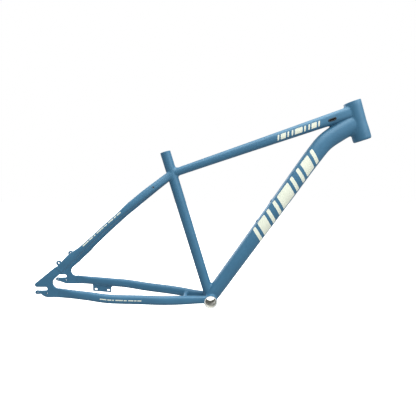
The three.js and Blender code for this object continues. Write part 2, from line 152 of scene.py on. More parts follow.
def add(tree, kind, links=None, **settings):
    """A new node, with its settings, and values or links for its inputs."""
    node = tree.nodes.new(kind)
    for key, value in settings.items():
        setattr(node, key, value)
    for key, value in (links or {}).items():
        if isinstance(value, bpy.types.NodeSocket):
            tree.links.new(value, node.inputs[key])
        else:
            node.inputs[key].default_value = value
    return node


def noise(tree, where, scale, detail=3.0, roughness=0.55):
    return add(tree, "ShaderNodeTexNoise", {
        "Vector": where, "Scale": scale, "Detail": detail, "Roughness": roughness,
    }).outputs["Fac"]


def spread(tree, value, low, high, to_low=0.0, to_high=1.0):
    return add(tree, "ShaderNodeMapRange", {
        "Value": value, "From Min": low, "From Max": high, "To Min": to_low, "To Max": to_high,
    }).outputs["Result"]


def calc(tree, operation, a, b=0.0):
    return add(tree, "ShaderNodeMath", {0: a, 1: b}, operation=operation).outputs[0]


print("helpers for effects ready")


# %% [markdown]
# **Grain** is the orange peel of sprayed paint, and the tooth of blasted metal or moulded
# rubber: fine bumps on top of broad ones. **Drift** is the slow change of tone that every
# sprayed or handled surface has, with sparse fine flecks. **Wear** finds sharp outer edges,
# where the coat is thin, and breaks them up. **Dust** settles on whatever faces up.

# %% The four shared effects
grain, given, made, where = effect("grain", {"Scale": 900.0, "Broad": 0.4}, ["Height", "Tone"])
fine = noise(grain, where, given["Scale"], 2.0)
broad = noise(grain, where, calc(grain, "MULTIPLY", given["Scale"], 0.18), 2.0)
both = calc(grain, "ADD", fine, calc(grain, "MULTIPLY", broad, given["Broad"]))
grain.links.new(both, made["Height"])
grain.links.new(spread(grain, fine, 0.3, 0.7), made["Tone"])

drift, given, made, where = effect("drift", {"Scale": 9.0, "Flecks": 0.5}, ["Tone", "Fleck"])
slow = noise(drift, where, given["Scale"], 4.0, 0.6)
drift.links.new(spread(drift, slow, 0.28, 0.72), made["Tone"])
specks = add(drift, "ShaderNodeTexVoronoi", {"Vector": where, "Scale": 1500.0}).outputs["Distance"]
near = spread(drift, specks, 0.22, 0.06)
drift.links.new(calc(drift, "MULTIPLY", near, given["Flecks"]), made["Fleck"])

wear, given, made, where = effect("wear", {"Start": 0.54, "Full": 0.62, "Patch": 160.0}, ["Mask"])
edge = spread(wear, add(wear, "ShaderNodeNewGeometry").outputs["Pointiness"],
              given["Start"], given["Full"])
broken = spread(wear, noise(wear, where, given["Patch"], 5.0, 0.7), 0.42, 0.66)
wear.links.new(calc(wear, "MULTIPLY", edge, broken), made["Mask"])

dust, given, made, where = effect("dust", {"Amount": 0.2, "Scale": 55.0}, ["Mask"])
facing = add(dust, "ShaderNodeSeparateXYZ", {
    0: add(dust, "ShaderNodeNewGeometry").outputs["Normal"]}).outputs["Z"]
settled = spread(dust, facing, 0.1, 0.95)
patches = spread(dust, noise(dust, where, given["Scale"], 6.0, 0.65), 0.38, 0.7)
dust.links.new(calc(dust, "MULTIPLY", calc(dust, "MULTIPLY", settled, patches), given["Amount"]),
               made["Mask"])
print("shared effects:", [group.name for group in bpy.data.node_groups])

# %% [markdown]
# ## The finishes
# The frame's blue is a satin powder coat: a mid blue with a slightly deeper and a slightly
# greyer blue drifting through it, a fine orange peel, and a thin clear layer. The graphics
# are cream ink under the same clear layer. The bottom bracket shell's faces and thread are
# cut after painting, so they are bare aluminium. Insides of the tubes are duller raw metal,
# and the cable port is black rubber.

# %% A recipe for a finish


def finish(name, colours, roughness, metallic, bump, values, coat=0.0):
    """colours: the main, deep, worn and dusty colour. bump: depth in mm and strength.
    values: what this finish changes in each shared effect."""
    material = bpy.data.materials.new(name)
    material.use_nodes = True
    tree = material.node_tree
    shader = tree.nodes["Principled BSDF"]
    shader.inputs["Metallic"].default_value = metallic
    shader.inputs["Coat Weight"].default_value = coat
    shader.inputs["Coat Roughness"].default_value = 0.28
    placed = {}
    for group in (grain, drift, wear, dust):
        node = add(tree, "ShaderNodeGroup", node_tree=group)
        for key, value in values.get(group.name, {}).items():
            node.inputs[key].default_value = value
        placed[group.name] = node.outputs
    main, deep, worn, dusty = [(*colour, 1.0) for colour in colours]

    def colour_mix(amount, a, b):
        node = add(tree, "ShaderNodeMix", data_type="RGBA")
        factor, first, second = node.inputs[0], node.inputs[6], node.inputs[7]
        for socket, value in ((factor, amount), (first, a), (second, b)):
            if isinstance(value, bpy.types.NodeSocket):
                tree.links.new(value, socket)
            else:
                socket.default_value = value
        return node.outputs[2]

    base = colour_mix(placed["drift"]["Tone"], main, deep)
    base = colour_mix(placed["drift"]["Fleck"], base, worn)
    base = colour_mix(placed["wear"]["Mask"], base, worn)
    base = colour_mix(placed["dust"]["Mask"], base, dusty)
    tree.links.new(base, shader.inputs["Base Color"])
    dulled = spread(tree, placed["grain"]["Tone"], 0.0, 1.0, roughness[0], roughness[1])
    dulled = calc(tree, "ADD", dulled, calc(tree, "MULTIPLY", placed["dust"]["Mask"], 0.5))
    tree.links.new(dulled, shader.inputs["Roughness"])
    bumps = add(tree, "ShaderNodeBump", {
        "Strength": bump[1], "Distance": bump[0] * MM, "Height": placed["grain"]["Height"]})
    tree.links.new(bumps.outputs["Normal"], shader.inputs["Normal"])
    return material


print("recipe for a finish ready")


# %% Paint, ink, metal and rubber
BLUE, DEEP_BLUE = (0.044, 0.166, 0.292), (0.036, 0.138, 0.246)
paint = finish(
    "satin_blue_paint", [BLUE, DEEP_BLUE, (0.13, 0.28, 0.42), (0.17, 0.28, 0.36)],
    roughness=(0.42, 0.52), metallic=0.12, bump=(0.05, 0.22), coat=0.12,
    values={"grain": {"Scale": 700.0, "Broad": 0.8}, "drift": {"Scale": 11.0, "Flecks": 0.12},
            "dust": {"Amount": 0.10}})
ink = finish(
    "cream_ink", [(0.80, 0.83, 0.71), (0.74, 0.78, 0.66), (0.88, 0.90, 0.84), (0.66, 0.67, 0.60)],
    roughness=(0.38, 0.48), metallic=0.0, bump=(0.10, 0.2), coat=0.2,
    values={"grain": {"Scale": 700.0}, "drift": {"Scale": 16.0, "Flecks": 0.2},
            "dust": {"Amount": 0.12}})
bright_metal = finish(
    "cut_aluminium", [(0.93, 0.93, 0.91), (0.86, 0.86, 0.84), (0.95, 0.95, 0.93),
                      (0.62, 0.61, 0.56)],
    roughness=(0.40, 0.52), metallic=0.45, bump=(0.05, 0.3),
    values={"grain": {"Scale": 1500.0}, "drift": {"Scale": 70.0, "Flecks": 0.3},
            "dust": {"Amount": 0.15}})
raw_metal = finish(
    "raw_tube_metal", [(0.40, 0.40, 0.38), (0.26, 0.26, 0.25), (0.58, 0.57, 0.53),
                       (0.34, 0.33, 0.29)],
    roughness=(0.42, 0.62), metallic=1.0, bump=(0.1, 0.35),
    values={"grain": {"Scale": 420.0}, "drift": {"Scale": 40.0, "Flecks": 0.2},
            "dust": {"Amount": 0.3}})
thread_metal = finish(
    "threaded_bore_metal", [(0.80, 0.80, 0.76), (0.42, 0.42, 0.39), (0.90, 0.88, 0.74),
                            (0.74, 0.72, 0.58)],
    roughness=(0.45, 0.62), metallic=0.4, bump=(0.08, 0.4),
    values={"grain": {"Scale": 900.0}, "drift": {"Scale": 130.0, "Flecks": 0.4},
            "dust": {"Amount": 0.4, "Scale": 120.0}})
rubber = finish(
    "port_rubber", [(0.024, 0.028, 0.034), (0.015, 0.018, 0.022), (0.05, 0.052, 0.055),
                    (0.09, 0.09, 0.088)],
    roughness=(0.62, 0.8), metallic=0.0, bump=(0.12, 0.5),
    values={"grain": {"Scale": 1600.0}, "dust": {"Amount": 0.25}})
print("finishes:", [material.name for material in bpy.data.materials if material.use_nodes])

# %% [markdown]
# ## Tubes along a route
# A bent tube starts as a line through the air. A smooth curve through a few points gives
# that line, and at each place on it stands an oval: so wide across the frame, so deep, and
# more or less square at its corners. `surface` gives a point on the tube from its place
# along the tube, 0 to 1, and the angle round it. Everything else is worked out from that.

# %% Routes and sections
LEFT = np.array([0.0, 1.0, 0.0])
FORWARD = np.array([1.0, 0.0, 0.0])


def unit(vectors):
    return vectors / np.linalg.norm(vectors, axis=-1, keepdims=True)


def smooth_route(points, per_span=60):
    """A centripetal Catmull-Rom curve: no loops or overshoot, however uneven the points."""
    p = np.array(points, float)
    p = np.vstack([2 * p[0] - p[1], p, 2 * p[-1] - p[-2]])
    w = np.linspace(0, 1, per_span, endpoint=False)[:, None]
    line = []
    for p0, p1, p2, p3 in zip(p, p[1:], p[2:], p[3:]):
        d0, d1, d2 = (np.linalg.norm(b - a) ** 0.5 for a, b in ((p0, p1), (p1, p2), (p2, p3)))
        m1 = ((p1 - p0) / d0 - (p2 - p0) / (d0 + d1) + (p2 - p1) / d1) * d1
        m2 = ((p2 - p1) / d1 - (p3 - p1) / (d1 + d2) + (p3 - p2) / d2) * d1
        line.append(p1 + m1 * w + (3 * (p2 - p1) - 2 * m1 - m2) * w**2
                    + (2 * (p1 - p2) + m1 + m2) * w**3)
    line = np.vstack([*line, p[-2]])
    far = np.concatenate([[0], np.cumsum(np.linalg.norm(np.diff(line, axis=0), axis=1))])

    def at(distance):
        return np.stack([np.interp(distance, far, line[:, k]) for k in range(3)], -1)

    def route(place):
        distance = place * far[-1]
        inside = np.clip(distance, 0, far[-1])
        along = unit(at(inside + 1.5) - at(inside - 1.5))
        return at(inside) + along * (distance - inside)[:, None], along

    return route, far[-1]


def profile(pairs):
    """Reads [place, value] pairs as a smooth function."""
    places, values = np.array(pairs, float).T

    def read(place):
        i = np.clip(np.searchsorted(places, place, side="left") - 1, 0, len(places) - 2)
        t = np.clip((place - places[i]) / (places[i + 1] - places[i]), 0, 1)
        return values[i] + (values[i + 1] - values[i]) * t * t * (3 - 2 * t)

    return read


def make_tube(points, section, wall, side=LEFT):
    route, length = smooth_route(points)
    return {"route": route, "length": length, "section": section, "wall": wall, "side": side}


def surface(tube, place, angle, inset=0.0):
    place, angle, inset = np.broadcast_arrays(place, angle, inset)
    flat = place.ravel()
    centre, along = tube["route"](flat)
    across = unit(tube["side"] - along * (along @ tube["side"])[:, None])
    deep = np.cross(along, across)
    width, depth, square = (np.broadcast_to(v, flat.shape)
                            for v in tube["section"](np.clip(flat, 0, 1)))
    c, s = np.cos(angle.ravel()), np.sin(angle.ravel())
    y = np.sign(c) * np.abs(c) ** (2 / square) * (width / 2 - inset.ravel())
    z = np.sign(s) * np.abs(s) ** (2 / square) * (depth / 2 - inset.ravel())
    return (centre + y[:, None] * across + z[:, None] * deep).reshape(*place.shape, 3)


def round_angles(count):
    return 2 * np.pi * np.arange(count) / count


print("helpers for tubes ready")


# %% [markdown]
# ## The members
# These are the driving sizes of the frame, the same as in the design: the bottom bracket
# shell at the origin, the seat tube leaning back from it, the head tube in front, and the
# tubes and stays between. The top tube turns boxier as it nears the head tube. The down
# tube runs straight and then bends forward under the head tube. The stays are slim and flat
# at the dropouts, where they nearly match the plate's thickness.

# %% Angles and sizes
SEAT_ANGLE = math.radians(73.3)
SEAT_UP = np.array([-math.cos(SEAT_ANGLE), 0, math.sin(SEAT_ANGLE)])
SEAT_LENGTH, SEAT_DIAMETER, SEAT_BORE = 472, 31, 27.2
HEAD_ANGLE = math.radians(71.4)
HEAD_UP = np.array([-math.cos(HEAD_ANGLE), 0, math.sin(HEAD_ANGLE)])
HEAD_BOTTOM = np.array([460.2, 0, 491.6])
HEAD_LENGTH, HEAD_TOP_RADIUS, HEAD_LOW_RADIUS = 119, 25.25, 27
SHELL_WIDTH, SHELL_RADIUS, SHELL_THREAD_RADIUS = 68, 20.25, 16.6
WALL, STAY_WALL, BRIDGE_WALL = 2.0, 1.8, 1.6
print("axis of the head tube:", HEAD_UP.round(3))

# %% Round and oval tubes


def round_section(diameter):
    return lambda place: (diameter, diameter, 2.0)


seat = make_tube([[0, 0, 0], SEAT_UP * SEAT_LENGTH], round_section(SEAT_DIAMETER),
                 (SEAT_DIAMETER - SEAT_BORE) / 2)
top = make_tube(
    [[-115.9, 0, 388.5], [431.5, 0, 578]],
    lambda t: (27 + 11 * t, 24 + 13.5 * t**1.3, 2.2 + 1.1 * t), WALL)
tuck = profile([[0, 3.4], [0.05, 0]])  # the down tube's foot is squeezed to fit the shell
down = make_tube(
    [[-3.8, 0, 0.5], [112, 0, 163.4], [227.6, 0, 326.4], [311.2, 0, 444.6],
     [344.5, 0, 485.5], [383, 0, 513.2], [442, 0, 548]],
    lambda t: (50 - 7 * t - tuck(t), 43 + 14 * t**1.15 - tuck(t), 2.2), WALL)
print("length of the down tube in mm: %.0f" % down["length"])

# %% Stays and bridges
CHAINSTAY_ROUTE = {
    "right": [
        [-432, 71, 44.6], [-405, 70, 40.9], [-377, 69, 36.8], [-349, 68, 32.6], [-322, 66, 27.2],
        [-294, 63.5, 23], [-265, 60.5, 20.4], [-209, 54, 16.4], [-151, 46, 11], [-92, 37, 8.2],
        [-50, 28.3, 6.4], [0, 22, 4.8]],
    "left": [
        [-432, 71, 46.2], [-408, 70, 44.5], [-362, 68.5, 40.9], [-317, 66, 36.7], [-284, 63, 34.6],
        [-251, 59.5, 30.8], [-221, 55.5, 26.6], [-189, 51, 23], [-126, 42.5, 16.8],
        [-92, 37, 12.6], [-50, 28.3, 8], [0, 22, 4.8]]}
SEATSTAY_ROUTE = [
    [-432, 71, 114], [-400.5, 69, 145.7], [-367.8, 66.5, 173.8], [-335.4, 63.5, 203.6],
    [-303.2, 60, 233], [-270.2, 56, 262.3], [-237.4, 50.5, 291.4], [-220.4, 46.5, 305.7],
    [-186.7, 36.5, 333.3], [-150, 21.5, 361.8], [-127.4, 12, 379.1], [-113, 8.3, 390]]
SIDES = {"right": -1, "left": 1}
boxy_end = profile([[0, 2.2], [0.07, 0]])  # squarer where a stay meets the flat dropout


def oval_section(width, depth, square):
    wide, deep = profile(width), profile(depth)
    return lambda t: (wide(t), deep(t), square + boxy_end(t))


def mirrored(points, side):
    return [[x, y * side, z] for x, y, z in points]


chainstays = {name: make_tube(
    mirrored(CHAINSTAY_ROUTE[name], side),
    oval_section([[0, 8], [0.12, 17], [0.5, 19], [1, 18]],
                 [[0, 26], [0.1, 25], [0.3, 26.4], [0.75, 27.6], [1, 23]], 2.5), STAY_WALL)
    for name, side in SIDES.items()}
seatstays = {name: make_tube(
    mirrored(SEATSTAY_ROUTE, side),
    oval_section([[0, 8], [0.1, 15], [0.5, 15.5], [0.85, 14.4], [1, 13.6]],
                 [[0, 21.6], [0.11, 24.5], [0.2, 17], [0.3, 15.4], [0.5, 15.4], [0.64, 20.5],
                  [0.8, 22], [1, 23]], 2.4), STAY_WALL)
    for name, side in SIDES.items()}
chain_bridge = make_tube([[-79, -36, 10.6], [-79, 36, 10.6]], round_section(13), BRIDGE_WALL,
                         side=FORWARD)
seat_bridge = make_tube([[-196, -39, 326.3], [-196, 39, 326.3]], round_section(12), BRIDGE_WALL,
                        side=FORWARD)
print("tube lengths in mm: top %.0f, down %.0f, chainstay %.0f, seatstay %.0f" % (
    top["length"], down["length"], chainstays["right"]["length"], seatstays["right"]["length"]))

# %% [markdown]
# ## Turned parts
# The head tube and the bottom bracket shell are turned on a lathe, so each is one outline
# spun round an axis. The outline goes up the outside and down the bore, which makes a ring
# with a real wall. The head tube swells a little where the down tube meets it, and both
# have small chamfers, because no turned edge is left sharp. The shell's bore is threaded
# from each end; a groove and a crest for every turn of thread is enough, because the slope
# of a 1 mm thread can't be seen.

# %% Spin an outline


def turned(outline, base, up, segments=144):
    """outline is [radius, height] pairs round the wall. Returns rows of points in mm."""
    side = unit(np.cross(up, FORWARD)) if abs(up[1]) < 0.9 else np.array([0.0, 0.0, 1.0])
    front = np.cross(side, up)
    angle = round_angles(segments)[None, :, None]
    radius, height = (np.array(column)[:, None, None] for column in zip(*outline))
    return np.asarray(base) + height * up + radius * (
        np.cos(angle) * side - np.sin(angle) * front)


def thread(radius, low, high, depth=0.55, pitch=1.06):
    """The outline of a thread from height low to high, walked in that direction."""
    turns = int(abs(high - low) / pitch)
    heights = np.linspace(low, high, 2 * turns + 1)
    return [[radius + (depth if i % 2 else 0), h] for i, h in enumerate(heights)]


swell = profile([[16, HEAD_LOW_RADIUS], [62, HEAD_TOP_RADIUS]])
head_outside = [[23.2, 0], [24.6, 0.6], [25.7, 1.8], [26.5, 3.6], [26.9, 5.8], [27, 8]]
head_outside += [[float(swell(h)), float(h)] for h in np.linspace(12, 72, 21)]
head_outside += [[HEAD_TOP_RADIUS, 100], [HEAD_TOP_RADIUS, HEAD_LENGTH - 1.1],
                 [HEAD_TOP_RADIUS - 0.3, HEAD_LENGTH - 0.35],
                 [HEAD_TOP_RADIUS - 1.0, HEAD_LENGTH]]
head_bore = [[22.5, HEAD_LENGTH], [22, HEAD_LENGTH - 0.5], [22, HEAD_LENGTH - 16],
             [21, HEAD_LENGTH - 17], [21, 60], [21, 17], [22, 16], [22, 0.5], [22.5, 0]]
head_rows = turned(head_outside + head_bore, HEAD_BOTTOM, HEAD_UP)

half = SHELL_WIDTH / 2
shell_edge = [[SHELL_RADIUS - 1.1, 0], [SHELL_RADIUS - 0.5, 0.12], [SHELL_RADIUS - 0.15, 0.45],
              [SHELL_RADIUS, 1.0], [SHELL_RADIUS, 8]]
shell_outside = [[r, h - half] for r, h in shell_edge] + [[SHELL_RADIUS, 0]]
shell_outside += [[r, half - h] for r, h in reversed(shell_edge)]
relief = SHELL_THREAD_RADIUS + 0.9  # the middle is bored out clear of the thread
lead_in = SHELL_THREAD_RADIUS + 0.3
shell_bore = [[lead_in, half]] + thread(SHELL_THREAD_RADIUS, half - 0.4, half - 22)
shell_bore += [[relief, half - 23], [relief, -half + 23]]
shell_bore += thread(SHELL_THREAD_RADIUS, -half + 22, -half + 0.4)
shell_bore += [[lead_in, -half]]
shell_rows = turned(shell_outside + shell_bore, [0, 0, 0], LEFT)
print("outline points: head", len(head_rows), "shell", len(shell_rows))

# %% [markdown]
# ## Finding where tubes meet
# A frame builder mitres a tube by rolling its end against the other tube. Here each fine
# line that runs along a tube is followed from the tube's middle until it first touches the
# other part, and it is cut there. The other part is kept as a search tree of its faces, so
# that thousands of these touches cost little.

# %% Targets and touches


def lining(tube):
    """A tube's whole outside, uncut."""
    return surface(tube, np.linspace(0, 1, 180)[:, None], round_angles(160)[None, :])


def target(*parts):
    """A search tree of the outsides given, each with a lid at both ends."""
    points, faces = [], []
    for rows in parts:
        first = sum(map(len, points))
        faces += [[first + corner for corner in face]
                  for face in grid_faces(*rows.shape[:2], False)]
        points.append(rows.reshape(-1, 3))
    return BVHTree.FromPolygons(np.vstack(points).tolist(), faces)


def smoothed(values, reach):
    """A running average round a ring."""
    weights = np.hanning(2 * reach + 3)[1:-1]
    rolled = [np.roll(values, k - reach, axis=0) * w for k, w in enumerate(weights)]
    return sum(rolled) / weights.sum()


def touches(tube, tree, to_end, angle, inset=0.0):
    """For each angle, the place along the tube where it meets the tree, and the tree's normal."""
    steps = np.linspace(0.5, 1.0 if to_end else 0.0, 70)
    lines = surface(tube, steps[:, None], angle[None, :], inset)
    place = np.full(len(angle), np.nan)
    normal = np.zeros((len(angle), 3))
    for j in range(len(angle)):
        for i in range(len(steps) - 1):
            start, step = Vector(lines[i, j]), Vector(lines[i + 1, j] - lines[i, j])
            hit, facing, _, far = tree.ray_cast(start, step.normalized(), step.length)
            if hit is not None:
                place[j] = steps[i] + (steps[i + 1] - steps[i]) * far / step.length
                normal[j] = facing if facing.dot(step) < 0 else -facing
                break
    missed = np.isnan(place)
    if missed.any():  # a line that slips past takes its place from its neighbours
        index = np.arange(len(angle))
        for values in (place, *normal.T):
            values[missed] = np.interp(index[missed], index[~missed], values[~missed],
                                       period=len(angle))
    return place, unit(normal)


shell_part, head_part = shell_rows[:len(shell_outside)], head_rows[:len(head_outside)]
at_shell = target(shell_part, lining(seat))
at_shell_alone = target(shell_part)
at_seat = target(lining(seat))
at_head = target(head_part)
at_head_and_top = target(head_part, lining(top))
at_shell_and_down = target(shell_part, lining(seat), lining(down))
at_chainstays = target(*(lining(tube) for tube in chainstays.values()))
at_seatstays = target(*(lining(tube) for tube in seatstays.values()))
print("search trees ready")

# %% [markdown]
# ## Making the tubes
# Each tube is an outer and an inner surface a wall apart, joined at its two ends, so it is
# as hollow as the real one. Both surfaces are cut where they touch the neighbour, plus a
# little, so no gap shows. A stay's end at the dropout is closed, and the seat tube's top is
# open with a small chamfer.

# %% Fit a tube between its neighbours
OVERRUN = 0.9  # how far a tube's end goes into its neighbour's wall
LIP = 0.5  # chamfer at an open end
AROUND, SPACING = 112, 4.0  # lines round a tube, and millimetres between its rings


def tube_piece(name, tube, start, end):
    """start and end are what the tube meets there; an end that meets nothing is None."""
    angle, length = round_angles(AROUND), tube["length"]
    part = np.linspace(0, 1, int(length / SPACING))[:, None]
    layers = []
    for inset in (0.0, tube["wall"]):
        low, high = inset / length, 1 - LIP / length
        if start:
            low = touches(tube, start, False, angle, inset)[0] - OVERRUN / length
        if end:
            high = touches(tube, end, True, angle, inset)[0] + OVERRUN / length
        layers.append(surface(tube, low + (high - low) * part, angle, inset))
    if not end:
        rim = [surface(tube, np.ones((1, 1)), angle[None, :], inset)
               for inset in (LIP, tube["wall"] - LIP / 2)]
        layers[1:1] = rim
    layers[-1] = layers[-1][::-1]
    mesh = grid_mesh("painted_" + name, np.concatenate(layers), start is not None)
    return finish_piece("painted_" + name, mesh, [paint, raw_metal], [name])


def raw_inside(piece, tube):
    """Gives the faces that look at the tube's own middle line the raw metal finish."""
    mesh = piece.data
    count = len(mesh.polygons)
    centres, normals = np.zeros(count * 3), np.zeros(count * 3)
    mesh.polygons.foreach_get("center", centres)
    mesh.polygons.foreach_get("normal", normals)
    centres, normals = centres.reshape(-1, 3) / MM, normals.reshape(-1, 3)
    line = tube["route"](np.linspace(0, 1, 300))[0]
    nearest = np.array([line[np.argmin(((line - c) ** 2).sum(1))] for c in centres])
    inward = ((centres - nearest) * normals).sum(1) < 0
    mesh.polygons.foreach_set("material_index", inward.astype(int))


print("helper for fitted tubes ready")


# %% The tubes, stays and bridges
fits = {
    "seat_tube": (seat, at_shell_alone, None),
    "top_tube": (top, at_seat, at_head),
    "down_tube": (down, at_shell, at_head_and_top)}
for name in SIDES:
    fits["chainstay_" + name] = (chainstays[name], None, at_shell_and_down)
    fits["seatstay_" + name] = (seatstays[name], None, at_seat)
fits["chainstay_bridge"] = (chain_bridge, at_chainstays, at_chainstays)
fits["seatstay_bridge"] = (seat_bridge, at_seatstays, at_seatstays)
pieces = {name: tube_piece(name, *fit) for name, fit in fits.items()}
print("tubes made:", len(pieces), "faces:", sum(len(p.data.polygons) for p in pieces.values()))

# %% The head tube and the bottom bracket shell


def turned_piece(name, rows, finishes, starts, nodes):
    """starts: the outline row that each finish after the first begins at."""
    mesh = grid_mesh(name, rows)
    finish_piece(name, mesh, finishes, nodes, crease=30)
    row_of = np.arange(len(mesh.polygons)) // rows.shape[1]
    mesh.polygons.foreach_set("material_index", sum((row_of >= row).astype(int) for row in starts))


turned_piece(
    "painted_head_tube", head_rows, [paint, raw_metal, paint],
    [len(head_outside), len(head_rows) - 1], ["head_tube"])
face = len(shell_outside) - 1
turned_piece(
    "faced_bottom_bracket_shell", shell_rows, [paint, bright_metal, thread_metal, bright_metal],
    [face, face + 1, len(shell_rows) - 1], ["bottom_bracket_shell"])

# %% [markdown]
# ## Weld beads
# A weld fills the corner between two parts. Round the joint, each touch point is the corner;
# one foot of the bead lies a little way back along the tube, and the other lies on the part
# it is welded to. A curve from foot to foot that leaves both surfaces smoothly is a filed
# weld, and small even waves along it are the ripples of a weld that was left as it was laid.
# Sharp corners get long feet and open ones get short feet, as molten metal runs.

# %% Lay a bead round a joint
BEAD_LIFT = 0.1  # the feet stand this much proud, so that the bead is what shows
BEAD_ROOT = 0.7  # how deep the bead's hidden back goes into both parts


def bead_rows(tube, tree, to_end, size, ripple, longest=1.9, columns=264, across=11):
    angle, length = round_angles(columns), tube["length"]
    place, facing = touches(tube, tree, to_end, angle)
    place = smoothed(place, 2)
    facing = unit(smoothed(facing, 4))
    back = (-1 if to_end else 1) / length
    corner = surface(tube, place, angle)
    away = unit(surface(tube, place + 2 * back, angle) - corner)
    around = unit(np.roll(corner, -1, axis=0) - np.roll(corner, 1, axis=0))
    outward = unit(np.cross(around, away))
    if ((corner - corner.mean(0)) * outward).sum() < 0:
        outward = -outward
    spread_out = unit(np.cross(around, facing))
    if (spread_out * outward).sum() < 0:
        spread_out = -spread_out
    opening = np.arccos(np.clip((away * spread_out).sum(1), -0.985, 0.985))
    leg = smoothed(np.clip(size / np.tan(opening / 2), 0.12 * size, longest * size), 8)[:, None]
    foot = surface(tube, place + back * leg[:, 0], angle) + outward * BEAD_LIFT
    other = np.array([tree.find_nearest(Vector(p))[0] for p in corner + spread_out * leg])
    other = smoothed(other, 3) + facing * BEAD_LIFT
    middle = corner + 0.12 * ((foot + other) / 2 - corner)
    q = np.linspace(0, 1, across)[:, None, None]
    rows = (1 - q) ** 2 * foot + 2 * q * (1 - q) * middle + q**2 * other
    run = np.linalg.norm(np.roll(middle, -1, axis=0) - middle, axis=1)
    turns = max(8, round(run.sum() / 2.6))
    phase = (np.concatenate([[0], np.cumsum(run)[:-1]]) / run.sum() * turns)[None, :, None]
    wave = 0.5 + 0.5 * np.cos(2 * np.pi * (phase - 1.1 * (q - 0.5) ** 2))
    rows = rows + unit(outward + facing) * ripple * wave * np.sin(np.pi * q) ** 0.6
    hidden = [other - facing * BEAD_ROOT, corner - (facing + outward) * BEAD_ROOT,
              foot - outward * BEAD_ROOT]
    return np.concatenate([rows, np.array(hidden)])


def off_the_faces(rows):
    """Keeps a bead at the shell clear of the shell's two machined faces."""
    limit = SHELL_WIDTH / 2 - 1.2
    at_axle = np.hypot(rows[..., 0], rows[..., 2]) < SHELL_RADIUS + 6
    rows[..., 1] = np.where(at_axle, np.clip(rows[..., 1], -limit, limit), rows[..., 1])
    return rows


def bead_piece(name, rows, nodes=(), closed=True):
    finish_piece(name, grid_mesh(name, rows, closed), [paint], nodes, crease=80)


print("helpers for welds ready")


# %% The welds of the front triangle are filed smooth
FRONT_BEADS = {
    "weld_top_to_seat": (top, at_seat, False, 7.0, ["weld_top_seat"]),
    "weld_top_to_head": (top, at_head, True, 7.5, ["weld_top_head"]),
    "weld_down_to_head": (down, at_head_and_top, True, 8.0, ["weld_down_head", "weld_top_down"]),
    "weld_down_to_shell": (down, at_shell, False, 6.0, ["weld_down_shell", "weld_seat_down"]),
    "weld_seat_to_shell": (seat, at_shell_alone, False, 4.5, ["weld_seat_shell"])}
for name, (tube, tree, to_end, size, nodes) in FRONT_BEADS.items():
    longest = 3.4 if tree is at_head_and_top else 1.9  # longer in the corner under the top tube
    rows = bead_rows(tube, tree, to_end, size, 0.05, longest)
    bead_piece(name, off_the_faces(rows), nodes)
print("smooth welds:", len(FRONT_BEADS))

# %% In the rear triangle only the seatstays' welds are filed
for name in SIDES:
    at_left = name == "left"
    for label, node, tube, tree, to_end, size, ripple in (
            ("chainstay_to_shell_", "chainstay_", chainstays[name], at_shell_and_down, True,
             4.0, 0.28),
            ("seatstay_to_seat_", "seatstay_", seatstays[name], at_seat, True, 5.0, 0.04),
            ("chain_bridge_end_", "chain_bridge_", chain_bridge, at_chainstays, at_left, 2.8, 0.22),
            ("seat_bridge_end_", "seat_bridge_", seat_bridge, at_seatstays, at_left, 2.8, 0.22)):
        rows = off_the_faces(bead_rows(tube, tree, to_end, size, ripple))
        bead_piece("weld_" + label + name, rows, ["weld_" + node + name])

# %% [markdown]
# ## Plates
# The dropouts, the disc brake mount and the kickstand plate are cut from flat plate and
# their edges are broken with a file. A plate is an outline with holes. Round each outline
# runs a wall whose top and bottom edges are rounded, and two flat faces close it.

# %% A plate from outlines
EDGE_STEPS = 4


def arc(x, z, radius, start, stop, points=14):
    turn = np.radians(np.linspace(start, stop, points))
    return np.stack([x + radius * np.cos(turn), z + radius * np.sin(turn)], -1).tolist()


def bend(start, control, stop, points=8):
    """A quadratic curve, without its first point."""
    t = np.linspace(0, 1, points)[1:, None]
    start, control, stop = map(np.array, (start, control, stop))
    return ((1 - t) ** 2 * start + 2 * t * (1 - t) * control + t**2 * stop).tolist()


def softened(loop, radius=1.6, sharp=28):
    """Rounds the corners of a loop that turn by more than sharp degrees."""
    loop = np.array(loop)
    out = []
    for before, corner, after in zip(np.roll(loop, 1, 0), loop, np.roll(loop, -1, 0)):
        a, b = before - corner, after - corner
        la, lb = np.linalg.norm(a), np.linalg.norm(b)
        turn = 180 - math.degrees(math.acos(np.clip(a @ b / (la * lb), -1, 1)))
        if turn < sharp:
            out.append(corner.tolist())
            continue
        start, stop = (corner + v / length * min(radius, 0.45 * length)
                       for v, length in ((a, la), (b, lb)))
        out += [start.tolist()] + bend(start, corner, stop, 6)
    return out


def offset_loop(loop, distance):
    """The loop moved inwards by distance; the loop runs anticlockwise round material."""
    ahead = unit(np.roll(loop, -1, 0) - loop)
    behind = np.roll(ahead, 1, 0)
    inward = np.stack([-(ahead + behind)[:, 1], (ahead + behind)[:, 0]], -1)
    inward /= np.maximum(1 + (ahead * behind).sum(1), 0.5)[:, None]
    return loop + inward * distance


